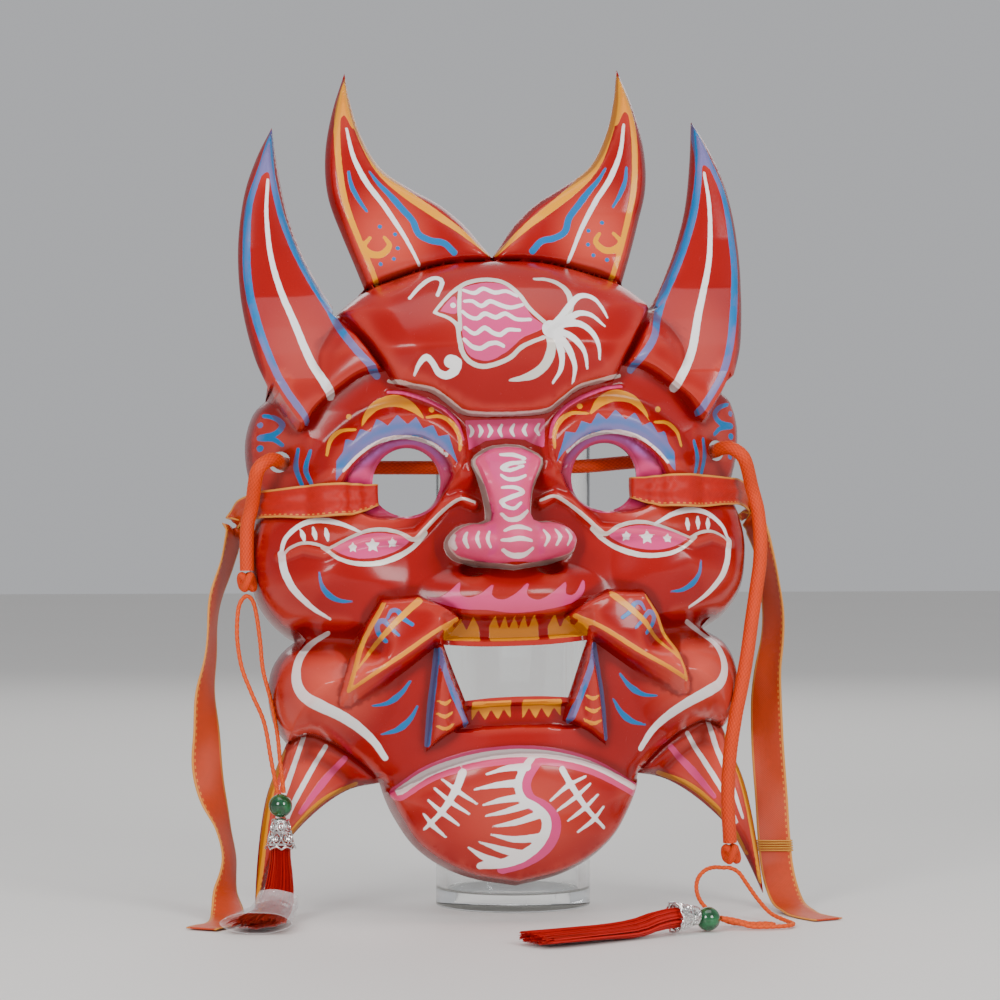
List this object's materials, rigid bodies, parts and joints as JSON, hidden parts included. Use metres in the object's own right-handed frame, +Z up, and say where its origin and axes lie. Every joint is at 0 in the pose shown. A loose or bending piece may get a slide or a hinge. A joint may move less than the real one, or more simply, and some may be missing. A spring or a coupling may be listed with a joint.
{
  "type": "opera mask on stand",
  "caption": "Horned Nuo opera mask, a moulded shell with tusks and open mouth, on a clear tube stand, with face cord, eye ribbons and tassels.",
  "frame": {"origin": "middle of the underside of the stand's foot", "axes": "+Z up along the stand's tube; the mask faces -Y; +X is to the viewer's right"},
  "size_m": [0.2284, 0.1545, 0.3026],
  "materials": {
    "red_plastic": "glossy, painted ornament",
    "clear_acrylic": "clear, polished",
    "orange_cord": "braided",
    "orange_thread": "braided",
    "green_jade": "polished stone",
    "silver": "bright plated metal",
    "red_silk": "silk thread",
    "clear_film": "thin clear film",
    "red_satin": "satin",
    "gold_thread": "metallic thread"
  },
  "bodies": {
    "root": {"mask_shell": "red_plastic", "display_stand": "clear_acrylic", "face_cord": "orange_cord", "cord_knot_left": "orange_cord", "cord_knot_right": "orange_cord", "tassel_cord_left": "orange_thread", "tassel_cord_right": "orange_thread", "jade_bead_left": "green_jade", "jade_bead_right": "green_jade", "silver_cap_left": "silver", "silver_cap_right": "silver", "tassel_left": "red_silk", "tassel_right": "red_silk", "film_sleeve_left": "clear_film", "ribbon_left": "red_satin", "ribbon_right": "red_satin", "ribbon_band_right": "gold_thread"}
  },
  "joints": []
}
